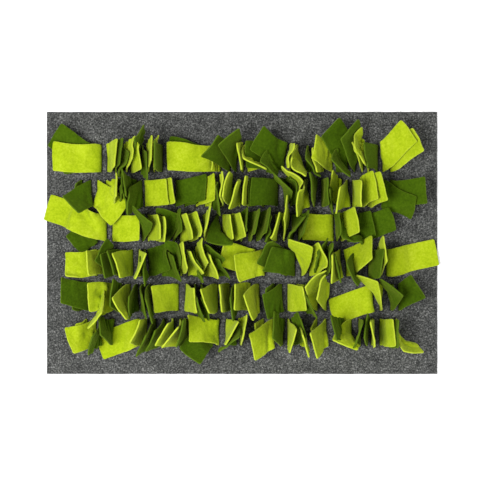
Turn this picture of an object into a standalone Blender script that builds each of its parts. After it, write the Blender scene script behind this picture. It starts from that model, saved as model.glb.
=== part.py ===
"""A snuffle mat: a felt rectangle with rows of slots, and fleece strips threaded through them.

Each strip goes down one slot and up through the next, so that both of its ends stand, lean or lie
on the felt. Blender units are metres, +Z is up, and the origin is on the surface that the mat lies
on, under the middle of the felt. The sizes below are in millimetres and turned to metres at the end.
"""

import bmesh
import bpy
import numpy as np

MM = 0.001

# Felt rectangle
FELT_LENGTH = 700.0
FELT_WIDTH = 470.0
FELT_THICKNESS = 3.5
BORDER_X = 34.0  # width of the border that lies flat on the floor, at the short sides
BORDER_Y = 25.0  # the same at the long sides
RAMP = 20.0  # width over which the felt rises from its border onto the strips below it
GAP = 0.3  # between pieces that touch

# Fleece strips
STRIP_WIDTH = 48.0
STRIP_THICKNESS = 3.0
HALF = STRIP_THICKNESS / 2
RUN_Z = HALF  # middle of the part of a strip that runs under the felt
LIFT = STRIP_THICKNESS + GAP  # height of the felt's underside over the runs
FELT_TOP = LIFT + FELT_THICKNESS
SLOT_WIDTH = 4.4
SLOT_LENGTH = STRIP_WIDTH + 1.4

# Rows of slots, from the back of the mat to its front: each row's name and its y
ROWS = {"A": 151.0, "B": 89.0, "C": 27.0, "D": -35.0, "E": -97.0, "F": -159.0}

LIME, DARK = "lime", "dark"
COLOURS = {LIME: (0.46, 0.60, 0.03), DARK: (0.09, 0.17, 0.015), "felt": (0.12, 0.12, 0.125)}

# Each strip: its colour and its two ends. An end's columns are
#   slot    x of the slot that it comes up through
#   over    how far its tip is from the slot along x
#   along   how far its tip is from the row's middle along y
#   turn    degrees that its tip is turned from the slot's direction, seen from above
#   length  from the slot to the tip, along the strip
#   layer   1 for an end that lies under its neighbours, 3 for one that lies over them
STRIPS = {
    "A": [
        (DARK, (-294, -26, -2, 0, 36, 1), (-275, -61, 41, -30, 84, 1)),
        (LIME, (-253, -84, 2, -6, 96, 2), (-239, 22, 7, -8, 72, 2)),
        (DARK, (-144, -9, 2, 0, 80, 2), (-68, -65, 14, -8, 76, 1)),
        (LIME, (-52, -81, 2, 0, 94, 2), (-39, -18, -2, 0, 36, 1)),
        (DARK, (-23, -34, 20, -44, 80, 3), (-11, -12, 36, -50, 90, 2)),
        (DARK, (59, -52, 3, -5, 74, 2), (74, -49, 34, -32, 80, 3)),
        (LIME, (86, 2, -2, -8, 82, 2), (99, -11, -25, 50, 80, 2)),
        (LIME, (144, -20, -7, 8, 56, 2), (160, -38, 20, -8, 72, 3)),
        (DARK, (187, -36, 57, -42, 84, 2), (201, -14, 50, -30, 84, 2)),
        (LIME, (253, 43, 50, 27, 84, 3), (267, 42, 32, 30, 78, 2)),
    ],
    "B": [
        (DARK, (-287, -7, -3, 0, 20, 1), (-271, -31, -23, 60, 66, 3)),
        (LIME, (-257, 42, -42, -27, 72, 3), (-242, 12, -12, -10, 34, 1)),
        (DARK, (-194, -11, 22, 10, 80, 2), (-180, -23, -19, -10, 66, 2)),
        (LIME, (-172, 43, 4, 0, 62, 3), (-158, 39, 6, 11, 62, 2)),
        (DARK, (-117, 57, 10, -14, 68, 3), (-101, 22, 3, 0, 32, 1)),
        (LIME, (-81, 33, 13, -14, 54, 2), (-65, 9, 3, -8, 34, 1)),
        (LIME, (-20, -9, 13, -14, 78, 2), (-4, -12, -6, -22, 76, 2)),
        (DARK, (38, -27, -1, -3, 50, 1), (63, -49, 1, -4, 70, 3)),
        (LIME, (102, -16, 31, 48, 84, 3), (115, -20, -21, -5, 80, 2)),
        (LIME, (172, -16, 22, -3, 56, 1), (187, -22, -17, -15, 84, 3)),
        (DARK, (255, 50, -30, 35, 72, 2), (267, 56, 3, 15, 80, 3)),
    ],
    "C": [
        (DARK, (-287, -9, -5, 0, 20, 1), (-269, -29, -34, 24, 54, 1)),
        (LIME, (-244, -110, 41, -2, 130, 2), (-230, 50, 0, 12, 64, 2)),
        (LIME, (-167, 22, 0, 6, 70, 3), (-151, 16, -5, 3, 68, 2)),
        (LIME, (-109, 17, 2, 14, 76, 2), (-95, 21, 7, 12, 74, 3)),
        (LIME, (-34, 16, 4, 5, 60, 1), (-18, 20, 7, 12, 70, 3)),
        (DARK, (13, 14, 12, -14, 76, 2), (27, 18, 14, -14, 76, 2)),
        (LIME, (61, -5, 4, -15, 68, 2), (75, 0, 39, -8, 82, 3)),
        (LIME, (162, -53, 4, -5, 64, 3), (178, 21, 12, 4, 70, 3)),
        (DARK, (201, 32, 11, 0, 50, 1), (217, 49, 18, 5, 64, 3)),
    ],
    "D": [
        (LIME, (-260, -56, -6, 34, 66, 2), (-246, -23, 1, 12, 72, 3)),
        (DARK, (-223, -21, -6, 8, 70, 3), (-210, -20, 1, 15, 74, 2)),
        (LIME, (-197, -23, -4, 18, 74, 3), (-183, 7, -6, -24, 80, 3)),
        (DARK, (-165, 41, 12, 8, 60, 3), (-140, 29, -10, 25, 64, 2)),
        (LIME, (-109, 12, 15, 14, 78, 2), (-95, 18, 1, 30, 74, 3)),
        (LIME, (-77, 12, 24, 20, 80, 1), (-63, 16, -8, 14, 74, 3)),
        (LIME, (20, -54, 19, 12, 76, 2), (39, -46, -10, 14, 70, 3)),
        (DARK, (79, -43, 24, -28, 78, 2), (93, -54, 12, -12, 74, 3)),
        (LIME, (108, -9, 39, 60, 82, 3), (122, 18, 13, 20, 76, 3)),
        (LIME, (174, -20, -13, 0, 76, 3), (188, 40, 30, -22, 78, 3)),
        (LIME, (246, 0, 24, 8, 80, 3), (260, 92, 20, 3, 104, 3)),
    ],
    "E": [
        (DARK, (-287, -13, 4, 0, 30, 1), (-269, -49, 14, 22, 70, 1)),
        (LIME, (-246, -12, -41, -40, 80, 3), (-232, -39, 0, -2, 66, 3)),
        (LIME, (-115, -41, -2, 12, 64, 3), (-99, 18, -4, 6, 74, 2)),
        (LIME, (-45, -21, -4, 20, 74, 3), (-23, -16, 0, 6, 74, 3)),
        (LIME, (13, -25, 5, 0, 74, 3), (29, -18, -16, 13, 70, 3)),
        (LIME, (83, 28, 0, 18, 66, 3), (99, 12, 2, 10, 34, 1)),
        (LIME, (133, -7, 40, -38, 84, 2), (149, -13, 23, -10, 78, 3)),
        (LIME, (232, -76, -29, 9, 90, 3), (248, -33, 40, 55, 82, 3)),
        (DARK, (267, -9, 22, 45, 74, 2), (282, 27, 23, 25, 62, 1)),
    ],
    "F": [
        (LIME, (-278, -13, -6, 0, 30, 1), (-262, -44, -12, 31, 62, 2)),
        (LIME, (-185, -73, -28, -2, 88, 3), (-171, -16, 5, -22, 76, 3)),
        (DARK, (-156, -22, -22, -26, 76, 2), (-140, -20, -10, -28, 72, 2)),
        (LIME, (-124, -16, 3, -30, 78, 3), (-109, -18, -4, -38, 76, 2)),
        (DARK, (-99, -10, 3, -10, 78, 2), (-63, -30, -40, 60, 78, 2)),
        (LIME, (-43, -52, 10, 24, 72, 3), (-27, 11, 3, -30, 76, 3)),
        (LIME, (38, -15, -6, 0, 34, 1), (54, -38, -24, 11, 70, 3)),
        (LIME, (133, -9, -12, 0, 34, 1), (149, -25, -21, 12, 76, 3)),
        (LIME, (233, -7, 1, 3, 80, 3), (248, 16, 5, 3, 74, 3)),
    ],
}

# Grid of points on each end's middle surface
ALONG = 15  # rows of points from the slot to the tip
ACROSS = 7  # points across the strip
BEND_SHARE = 0.3  # share of an end's length in which it bends over; past that it is straight
MOST_BEND = 115.0  # degrees that an end can lean from upright
ROOT_DEPTH = 2.0  # of an end's first row of points below the felt's top
TURN_START, TURN_SPAN = 0.1, 0.6  # shares of the length at which an end starts to turn, and takes to

# Spacing of the ends
CLEAR = 7.0  # distance kept between the points of two ends
CLOSE_STEP = 6.2  # ends whose points are further apart than this keep more distance
FLOOR_CLEAR = HALF + 2.0  # distance kept between the points of an end and the felt
LAYDOWN_STEPS = 90
STEP_PASSES = 6
SETTLE_PASSES = 160
PULL = 0.12  # share of the way toward its place that a point moves in one pass
MOST_PULL = 0.8  # and the most that it moves
PUSH = 0.9  # share by which two points that are too close are moved apart in one pass
HELD_ROWS = 2  # rows of points that the slot holds
LENGTH_HOLD, SHEAR_HOLD, BEND_HOLD, CUP_HOLD = 0.5, 0.2, 0.2, 0.25  # stiffness of the cloth
LAYER_START = {1: 0.0, 2: 0.27, 3: 0.54}  # when each layer starts to be laid down
LAYER_TIME = 0.42

# Sections of a strip's solid: rows of an end's points, tip first, and points across
SECTION_ROWS = (14, 12, 9, 6, 4, 2, 1)
SECTION_POINTS = (0, 3, 6)
LONG_END = 100.0  # a strip with an end over this gets closer sections
LONG_ROWS = (14, 12, 10, 8, 7, 6, 5, 4, 3, 2, 1)
LONG_POINTS = (0, 2, 4, 6)
LEAST_MITRE = 0.7  # so that a sharp fold isn't drawn out into a spike
CUTTER_PAST = 5.0  # that the slots' cutter reaches past the felt's faces


def ends_table():
    """One array row per end: slot, row's y, over, along, turn in radians, length, layer."""
    rows = []
    for row, strips in STRIPS.items():
        for _, *ends in strips:
            for slot, over, along, turn, length, layer in ends:
                rows.append((slot, ROWS[row], over, along, np.radians(turn), length, layer))
    return np.array(rows, float)


def felt_lift(x, y):
    """Height of the felt's underside: 0 on its border, LIFT over the strips' runs."""
    inside_x = (FELT_LENGTH / 2 - BORDER_X - np.abs(x)) / RAMP
    inside_y = (FELT_WIDTH / 2 - BORDER_Y - np.abs(y)) / RAMP
    return LIFT * np.clip(np.minimum(inside_x, inside_y), 0, 1)


def bent_shapes(ends, share):
    """The ends' point grids when laid down by a share from 0, upright, to 1, as far as the table says."""
    slot, row_y, over, along, turn, length, _ = ends.T
    over, along, turn = over * share, along * share, turn * share
    reach = np.hypot(over, along)
    heading = np.arctan2(along, over)
    s = np.linspace(0, 1, ALONG)
    fine = np.linspace(0, 1, 4 * ALONG)
    ramp = np.clip(fine / BEND_SHARE, 0, 1)
    low, high = np.zeros(len(ends)), np.full(len(ends), np.radians(MOST_BEND))
    for _ in range(30):
        middle = (low + high) / 2
        reached = length * np.sin(middle[:, None] * ramp).mean(axis=1)
        low = np.where(reached < reach, middle, low)
        high = np.where(reached < reach, high, middle)
    lean = middle[:, None] * np.clip(s / BEND_SHARE, 0, 1)
    step = (length / (ALONG - 1))[:, None]
    mid_lean = (lean[:, 1:] + lean[:, :-1]) / 2
    start = np.zeros((len(ends), 1))
    out = np.concatenate([start, np.cumsum(np.sin(mid_lean) * step, 1)], 1)
    rise = np.concatenate([start, np.cumsum(np.cos(mid_lean) * step, 1)], 1)
    cos_h, sin_h = np.cos(heading)[:, None], np.sin(heading)[:, None]
    x, y = slot[:, None] + out * cos_h, row_y[:, None] + out * sin_h
    centre = np.stack([x, y, FELT_TOP - ROOT_DEPTH + rise], axis=-1)
    tangent = np.stack([np.sin(lean) * cos_h, np.sin(lean) * sin_h, np.cos(lean)], axis=-1)
    ease = np.clip((s - TURN_START) / TURN_SPAN, 0, 1)
    azimuth = turn[:, None] * ease * ease * (3 - 2 * ease) + np.pi / 2
    width = np.stack([np.cos(azimuth), np.sin(azimuth), np.zeros_like(azimuth)], axis=-1)
    width -= (width * tangent).sum(-1, keepdims=True) * tangent
    width /= np.maximum(np.linalg.norm(width, axis=-1, keepdims=True), 0.2)
    offsets = np.linspace(-STRIP_WIDTH / 2, STRIP_WIDTH / 2, ACROSS)
    return centre[:, :, None, :] + width[:, :, None, :] * offsets[None, None, :, None]


def near_pairs(points, owner, reach):
    """Pairs of points of different ends that are closer than reach."""
    cell = np.floor((points - points.min(axis=0)) / reach).astype(np.int64) + 1
    across = cell.max(axis=0) + 2
    key = (cell[:, 0] * across[1] + cell[:, 1]) * across[2] + cell[:, 2]
    order = np.argsort(key, kind="stable")
    ordered = key[order]
    found = []
    for dx in (0, 1):
        for dy in (-1, 0, 1):
            for dz in (-1, 0, 1):
                if (dx, dy, dz) < (0, 0, 0):
                    continue
                wanted = ordered + (dx * across[1] + dy) * across[2] + dz
                first = np.searchsorted(ordered, wanted, "left")
                count = np.searchsorted(ordered, wanted, "right") - first
                a = np.repeat(np.arange(len(ordered)), count)
                b = np.arange(count.sum()) - np.repeat(np.cumsum(count) - count, count)
                b += np.repeat(first, count)
                keep = a < b if (dx, dy, dz) == (0, 0, 0) else slice(None)
                found.append((order[a[keep]], order[b[keep]]))
    a = np.concatenate([pair[0] for pair in found])
    b = np.concatenate([pair[1] for pair in found])
    apart = owner[a] != owner[b]
    a, b = a[apart], b[apart]
    close = ((points[a] - points[b]) ** 2).sum(axis=1) < reach * reach
    return a[close], b[close]


def push_apart(grid, pairs, moves, radius):
    """Moves the points of each pair that is closer than their radii away from each other."""
    points = grid.reshape(-1, 3)
    a, b = pairs
    apart = points[a] - points[b]
    size = np.sqrt((apart**2).sum(axis=1))
    distance = radius[a] + radius[b]
    hit = size < distance
    a, b, apart, size, distance = a[hit], b[hit], apart[hit], size[hit], distance[hit]
    share = moves[a] + moves[b]
    push = apart * (PUSH * (distance - size) / np.maximum(size, 0.01) / np.maximum(share, 1))[:, None]
    for axis in range(3):
        points[:, axis] += np.bincount(a, push[:, axis] * moves[a], len(points))
        points[:, axis] -= np.bincount(b, push[:, axis] * moves[b], len(points))


def grid_links(grid, step_along, step_across):
    """Pairs of views of neighbouring points, no point twice in a view, with rest distance and stiffness."""
    links = []

    def link(a, b, rest, hold):
        links.append((a, b, rest, hold))

    for first in (0, 1):
        link(grid[:, first : ALONG - 1 : 2], grid[:, first + 1 :: 2], step_along, LENGTH_HOLD)
        link(grid[:, :, first : ACROSS - 1 : 2], grid[:, :, first + 1 :: 2], step_across, LENGTH_HOLD)
    diagonal = np.hypot(step_along, step_across)
    for u in (0, 1):
        for v in (0, 1):
            near, far = slice(u, ALONG - 1, 2), slice(u + 1, ALONG, 2)
            left, right = slice(v, ACROSS - 1, 2), slice(v + 1, ACROSS, 2)
            link(grid[:, near, left], grid[:, far, right], diagonal, SHEAR_HOLD)
            link(grid[:, near, right], grid[:, far, left], diagonal, SHEAR_HOLD)
    for first in range(4):
        link(grid[:, first : ALONG - 2 : 4], grid[:, first + 2 :: 4], 2 * step_along, BEND_HOLD)
        link(grid[:, :, first : ACROSS - 2 : 4], grid[:, :, first + 2 :: 4], 2 * step_across, CUP_HOLD)
    return links


def hold_lengths(links):
    """Brings each linked pair of points back toward its rest distance."""
    for a, b, rest, stiffness in links:
        apart = b - a
        length = np.sqrt((apart**2).sum(-1, keepdims=True))
        fix = apart * (stiffness * (1 - rest / np.maximum(length, 0.01)))
        a += fix
        b -= fix


def laid_ends(ends):
    """The ends' point grids, laid down layer by layer and kept clear of each other and of the felt."""
    grid = bent_shapes(ends, np.zeros(len(ends)))
    owner = np.repeat(np.arange(len(ends)), ALONG * ACROSS)
    moves = np.tile(np.repeat((np.arange(ALONG) >= HELD_ROWS).astype(float), ACROSS), len(ends))
    start = np.array([LAYER_START[int(layer)] for layer in ends[:, 6]])
    step_along = (ends[:, 5] / (ALONG - 1))[:, None, None, None]
    step_across = STRIP_WIDTH / (ACROSS - 1)
    radius = np.repeat(CLEAR / 2 * np.maximum(step_along.ravel() / CLOSE_STEP, 1), ALONG * ACROSS)
    links = grid_links(grid, step_along, step_across)
    held = grid[:, :HELD_ROWS].copy()
    laydown = LAYDOWN_STEPS * STEP_PASSES
    for count in range(laydown + SETTLE_PASSES):
        time = min(count / laydown, 1)
        if count % STEP_PASSES == 0:
            if count <= laydown:
                target = bent_shapes(ends, np.clip((time - start) / LAYER_TIME, 0, 1))
            pairs = near_pairs(grid.reshape(-1, 3), owner, 2 * radius.max())
        pull = PULL * min(1, (laydown + SETTLE_PASSES - count - 1) / SETTLE_PASSES)
        toward = (target - grid) * pull
        size = np.sqrt((toward**2).sum(-1, keepdims=True))
        grid += toward * np.minimum(1, MOST_PULL / np.maximum(size, 0.01))
        push_apart(grid, pairs, moves, radius)
        hold_lengths(links)
        push_apart(grid, pairs, moves, radius)
        floor = felt_lift(grid[..., 0], grid[..., 1]) + FELT_THICKNESS + FLOOR_CLEAR
        grid[..., 2] = np.maximum(grid[..., 2], floor)
        grid[:, :HELD_ROWS] = held
    return grid


def strip_rows(first, second, is_long):
    """A strip's middle surface: from one tip down through the felt, under it, and up to the other tip."""
    rows = LONG_ROWS if is_long else SECTION_ROWS
    columns = LONG_POINTS if is_long else SECTION_POINTS
    across = np.linspace(-STRIP_WIDTH / 2, STRIP_WIDTH / 2, len(columns))
    turns = []
    for grid in (first, second):
        x, y = grid[0, ACROSS // 2, :2]
        level = np.ones(len(across))
        turns.append(np.stack([x * level, y + across, RUN_Z * level], 1))
    picked = [grid[list(rows)][:, list(columns)] for grid in (first, second)]
    return np.concatenate([picked[0], turns[0][None], turns[1][None], picked[1][::-1]])


def thickened(rows):
    """Both faces of a sheet with these rows of points as its middle, mitred where it bends."""
    count = len(rows)
    before = rows - np.concatenate([rows[:1], rows[:-1]])
    after = np.concatenate([rows[1:], rows[-1:]]) - rows
    before[0], after[-1] = after[0], before[-1]
    before /= np.linalg.norm(before, axis=-1, keepdims=True)
    after /= np.linalg.norm(after, axis=-1, keepdims=True)
    width = np.gradient(rows, axis=1)
    normals = []
    for along in (before, after):
        normal = np.cross(along, width)
        normals.append(normal / np.linalg.norm(normal, axis=-1, keepdims=True))
    middle = normals[0] + normals[1]
    middle /= np.linalg.norm(middle, axis=-1, keepdims=True)
    mitre = np.maximum((middle * normals[0]).sum(-1, keepdims=True), LEAST_MITRE)
    return rows + middle * HALF / mitre, rows - middle * HALF / mitre


def add_object(name, points, faces, colour):
    mesh = bpy.data.meshes.new(name)
    mesh.from_pydata([tuple(point * MM) for point in points], [], faces)
    mesh.validate()
    built = bmesh.new()
    built.from_mesh(mesh)
    bmesh.ops.recalc_face_normals(built, faces=built.faces)
    built.to_mesh(mesh)
    built.free()
    mesh.materials.append(MATERIALS[colour])
    obj = bpy.data.objects.new(name, mesh)
    bpy.context.scene.collection.objects.link(obj)
    return obj


def add_strip(name, colour, first, second, is_long):
    """A strip as one closed solid: rows of points for its upper and lower faces, joined at every edge."""
    upper, lower = thickened(strip_rows(first, second, is_long))
    count, across = upper.shape[:2]
    points = np.concatenate([upper.reshape(-1, 3), lower.reshape(-1, 3)])
    under = count * across  # from a point of the upper face to the one below it

    def at(row, column):
        return row * across + column

    faces = []
    for row in range(count - 1):
        for column in range(across - 1):
            a, b, c, d = at(row, column), at(row, column + 1), at(row + 1, column + 1), at(row + 1, column)
            faces.append((a, b, c, d))
            faces.append((d + under, c + under, b + under, a + under))
        for column in (0, across - 1):
            a, b = at(row, column), at(row + 1, column)
            faces.append((a, b, b + under, a + under))
    for row in (0, count - 1):
        for column in range(across - 1):
            a, b = at(row, column), at(row, column + 1)
            faces.append((a, a + under, b + under, b))
    return add_object(name, points, faces, colour)


def add_felt(ends):
    """The felt: its border flat on the floor, the rest raised over the strips' runs, a slot for each end."""
    half_x, half_y = FELT_LENGTH / 2, FELT_WIDTH / 2
    xs = np.array([half_x, half_x - BORDER_X, half_x - BORDER_X - RAMP])
    ys = np.array([half_y, half_y - BORDER_Y, half_y - BORDER_Y - RAMP])
    xs = np.concatenate([-xs, xs[::-1]])
    ys = np.concatenate([-ys, ys[::-1]])
    points, faces = [], []
    for thickness in (0.0, FELT_THICKNESS):
        for y in ys:
            for x in xs:
                points.append(np.array([x, y, felt_lift(x, y) + thickness]))
    side = len(xs) * len(ys)
    for row in range(len(ys) - 1):
        for column in range(len(xs) - 1):
            a = row * len(xs) + column
            quad = (a, a + 1, a + 1 + len(xs), a + len(xs))
            faces.append(tuple(index + side for index in quad))
            faces.append(tuple(reversed(quad)))
    rim = list(range(len(xs)))
    rim += [row * len(xs) + len(xs) - 1 for row in range(1, len(ys))]
    rim += [side - 1 - column for column in range(1, len(xs))]
    rim += [row * len(xs) for row in range(len(ys) - 2, 0, -1)]
    for a, b in zip(rim, rim[1:] + rim[:1]):
        faces.append((a, b, b + side, a + side))
    felt = add_object("felt_base", points, faces, "felt")

    points, faces = [], []
    for slot, row_y in ends[:, :2]:
        first = len(points)
        for x in (slot - SLOT_WIDTH / 2, slot + SLOT_WIDTH / 2):
            for y in (row_y - SLOT_LENGTH / 2, row_y + SLOT_LENGTH / 2):
                for z in (-CUTTER_PAST, FELT_TOP + CUTTER_PAST):
                    points.append(np.array([x, y, z]))
        for quad in ((0, 1, 3, 2), (4, 6, 7, 5), (0, 4, 5, 1), (2, 3, 7, 6), (0, 2, 6, 4), (1, 5, 7, 3)):
            faces.append(tuple(first + corner for corner in quad))
    cutter = add_object("slot_cutter", points, faces, "felt")
    cutter.hide_render = True
    cutter.display_type = "WIRE"
    slots = felt.modifiers.new("slots", "BOOLEAN")
    slots.operation = "DIFFERENCE"
    slots.solver = "EXACT"
    slots.object = cutter


for old in list(bpy.data.objects):
    bpy.data.objects.remove(old)

MATERIALS = {}
for colour, rgb in COLOURS.items():
    material = bpy.data.materials.new(colour)
    material.use_nodes = True
    shader = material.node_tree.nodes["Principled BSDF"]
    shader.inputs["Base Color"].default_value = (*rgb, 1)
    shader.inputs["Roughness"].default_value = 0.95
    shader.inputs["Metallic"].default_value = 0.0
    MATERIALS[colour] = material

all_ends = ends_table()
grids = laid_ends(all_ends)
add_felt(all_ends)
index = 0
for row, strips in STRIPS.items():
    for number, (colour, *_) in enumerate(strips, 1):
        name = f"strip_{row}{number:02d}_{colour}"
        is_long = all_ends[index : index + 2, 5].max() > LONG_END
        add_strip(name, colour, grids[index], grids[index + 1], is_long)
        index += 2
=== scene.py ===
"""The looks of the snuffle mat: a heather felt rectangle with fleece strips threaded through it.

Every strip that the CAD model holds is built again here as a fine sheet on the same folds, worked
out from the same table. Shorter strips that fill the gaps between them are laid down afterwards,
clear of the first. Tables and shapes are in millimetres; meshes, lights and the camera in metres.
"""

import bpy
import numpy as np
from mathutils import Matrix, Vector, noise


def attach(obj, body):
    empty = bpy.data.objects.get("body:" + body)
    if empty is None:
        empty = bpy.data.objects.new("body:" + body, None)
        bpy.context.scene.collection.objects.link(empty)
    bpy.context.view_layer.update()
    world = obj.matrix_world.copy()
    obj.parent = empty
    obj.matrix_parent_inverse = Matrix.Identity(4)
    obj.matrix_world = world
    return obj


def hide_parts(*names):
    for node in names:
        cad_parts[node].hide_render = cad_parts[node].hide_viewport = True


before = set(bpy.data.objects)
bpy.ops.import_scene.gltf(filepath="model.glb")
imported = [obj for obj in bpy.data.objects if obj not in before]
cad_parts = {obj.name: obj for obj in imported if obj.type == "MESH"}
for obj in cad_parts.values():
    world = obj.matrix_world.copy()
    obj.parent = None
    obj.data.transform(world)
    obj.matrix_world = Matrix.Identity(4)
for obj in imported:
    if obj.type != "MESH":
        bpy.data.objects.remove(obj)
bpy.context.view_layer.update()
noise.seed_set(1)  # the noise vectors below read their offsets from it

MM = 0.001

# The felt, as in the CAD model
FELT_LENGTH, FELT_WIDTH, FELT_THICKNESS = 700.0, 470.0, 3.5
BORDER_X, BORDER_Y, RAMP = 34.0, 25.0, 20.0  # flat border, and the width of its rise onto the runs
LIFT = 3.3  # height of the felt's underside over the strips' runs
FELT_TOP = LIFT + FELT_THICKNESS
SLOT_WIDTH, SLOT_LENGTH = 4.4, 49.4

# The fleece
STRIP_WIDTH = 48.0
HALF = 1.5  # half of its thickness
RUN_Z = HALF

# Rows of slots, from the back of the mat to its front: each row's name and its y
ROWS = {"A": 151.0, "B": 89.0, "C": 27.0, "D": -35.0, "E": -97.0, "F": -159.0}

LIME, DARK = "lime", "dark"

# Each strip: its colour and its two ends. An end's columns are
#   slot    x of the slot that it comes up through
#   over    how far its tip is from the slot along x
#   along   how far its tip is from the row's middle along y
#   turn    degrees that its tip is turned from the slot's direction, seen from above
#   length  from the slot to the tip, along the strip
#   layer   1 for an end that lies under its neighbours, 3 for one that lies over them
STRIPS = {
    "A": [
        (DARK, (-294, -26, -2, 0, 36, 1), (-275, -61, 41, -30, 84, 1)),
        (LIME, (-253, -84, 2, -6, 96, 2), (-239, 22, 7, -8, 72, 2)),
        (DARK, (-144, -9, 2, 0, 80, 2), (-68, -65, 14, -8, 76, 1)),
        (LIME, (-52, -81, 2, 0, 94, 2), (-39, -18, -2, 0, 36, 1)),
        (DARK, (-23, -34, 20, -44, 80, 3), (-11, -12, 36, -50, 90, 2)),
        (DARK, (59, -52, 3, -5, 74, 2), (74, -49, 34, -32, 80, 3)),
        (LIME, (86, 2, -2, -8, 82, 2), (99, -11, -25, 50, 80, 2)),
        (LIME, (144, -20, -7, 8, 56, 2), (160, -38, 20, -8, 72, 3)),
        (DARK, (187, -36, 57, -42, 84, 2), (201, -14, 50, -30, 84, 2)),
        (LIME, (253, 43, 50, 27, 84, 3), (267, 42, 32, 30, 78, 2)),
    ],
    "B": [
        (DARK, (-287, -7, -3, 0, 20, 1), (-271, -31, -23, 60, 66, 3)),
        (LIME, (-257, 42, -42, -27, 72, 3), (-242, 12, -12, -10, 34, 1)),
        (DARK, (-194, -11, 22, 10, 80, 2), (-180, -23, -19, -10, 66, 2)),
        (LIME, (-172, 43, 4, 0, 62, 3), (-158, 39, 6, 11, 62, 2)),
        (DARK, (-117, 57, 10, -14, 68, 3), (-101, 22, 3, 0, 32, 1)),
        (LIME, (-81, 33, 13, -14, 54, 2), (-65, 9, 3, -8, 34, 1)),
        (LIME, (-20, -9, 13, -14, 78, 2), (-4, -12, -6, -22, 76, 2)),
        (DARK, (38, -27, -1, -3, 50, 1), (63, -49, 1, -4, 70, 3)),
        (LIME, (102, -16, 31, 48, 84, 3), (115, -20, -21, -5, 80, 2)),
        (LIME, (172, -16, 22, -3, 56, 1), (187, -22, -17, -15, 84, 3)),
        (DARK, (255, 50, -30, 35, 72, 2), (267, 56, 3, 15, 80, 3)),
    ],
    "C": [
        (DARK, (-287, -9, -5, 0, 20, 1), (-269, -29, -34, 24, 54, 1)),
        (LIME, (-244, -110, 41, -2, 130, 2), (-230, 50, 0, 12, 64, 2)),
        (LIME, (-167, 22, 0, 6, 70, 3), (-151, 16, -5, 3, 68, 2)),
        (LIME, (-109, 17, 2, 14, 76, 2), (-95, 21, 7, 12, 74, 3)),
        (LIME, (-34, 16, 4, 5, 60, 1), (-18, 20, 7, 12, 70, 3)),
        (DARK, (13, 14, 12, -14, 76, 2), (27, 18, 14, -14, 76, 2)),
        (LIME, (61, -5, 4, -15, 68, 2), (75, 0, 39, -8, 82, 3)),
        (LIME, (162, -53, 4, -5, 64, 3), (178, 21, 12, 4, 70, 3)),
        (DARK, (201, 32, 11, 0, 50, 1), (217, 49, 18, 5, 64, 3)),
    ],
    "D": [
        (LIME, (-260, -56, -6, 34, 66, 2), (-246, -23, 1, 12, 72, 3)),
        (DARK, (-223, -21, -6, 8, 70, 3), (-210, -20, 1, 15, 74, 2)),
        (LIME, (-197, -23, -4, 18, 74, 3), (-183, 7, -6, -24, 80, 3)),
        (DARK, (-165, 41, 12, 8, 60, 3), (-140, 29, -10, 25, 64, 2)),
        (LIME, (-109, 12, 15, 14, 78, 2), (-95, 18, 1, 30, 74, 3)),
        (LIME, (-77, 12, 24, 20, 80, 1), (-63, 16, -8, 14, 74, 3)),
        (LIME, (20, -54, 19, 12, 76, 2), (39, -46, -10, 14, 70, 3)),
        (DARK, (79, -43, 24, -28, 78, 2), (93, -54, 12, -12, 74, 3)),
        (LIME, (108, -9, 39, 60, 82, 3), (122, 18, 13, 20, 76, 3)),
        (LIME, (174, -20, -13, 0, 76, 3), (188, 40, 30, -22, 78, 3)),
        (LIME, (246, 0, 24, 8, 80, 3), (260, 92, 20, 3, 104, 3)),
    ],
    "E": [
        (DARK, (-287, -13, 4, 0, 30, 1), (-269, -49, 14, 22, 70, 1)),
        (LIME, (-246, -12, -41, -40, 80, 3), (-232, -39, 0, -2, 66, 3)),
        (LIME, (-115, -41, -2, 12, 64, 3), (-99, 18, -4, 6, 74, 2)),
        (LIME, (-45, -21, -4, 20, 74, 3), (-23, -16, 0, 6, 74, 3)),
        (LIME, (13, -25, 5, 0, 74, 3), (29, -18, -16, 13, 70, 3)),
        (LIME, (83, 28, 0, 18, 66, 3), (99, 12, 2, 10, 34, 1)),
        (LIME, (133, -7, 40, -38, 84, 2), (149, -13, 23, -10, 78, 3)),
        (LIME, (232, -76, -29, 9, 90, 3), (248, -33, 40, 55, 82, 3)),
        (DARK, (267, -9, 22, 45, 74, 2), (282, 27, 23, 25, 62, 1)),
    ],
    "F": [
        (LIME, (-278, -13, -6, 0, 30, 1), (-262, -44, -12, 31, 62, 2)),
        (LIME, (-185, -73, -28, -2, 88, 3), (-171, -16, 5, -22, 76, 3)),
        (DARK, (-156, -22, -22, -26, 76, 2), (-140, -20, -10, -28, 72, 2)),
        (LIME, (-124, -16, 3, -30, 78, 3), (-109, -18, -4, -38, 76, 2)),
        (DARK, (-99, -10, 3, -10, 78, 2), (-63, -30, -40, 60, 78, 2)),
        (LIME, (-43, -52, 10, 24, 72, 3), (-27, 11, 3, -30, 76, 3)),
        (LIME, (38, -15, -6, 0, 34, 1), (54, -38, -24, 11, 70, 3)),
        (LIME, (133, -9, -12, 0, 34, 1), (149, -25, -21, 12, 76, 3)),
        (LIME, (233, -7, 1, 3, 80, 3), (248, 16, 5, 3, 74, 3)),
    ],
}

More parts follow.
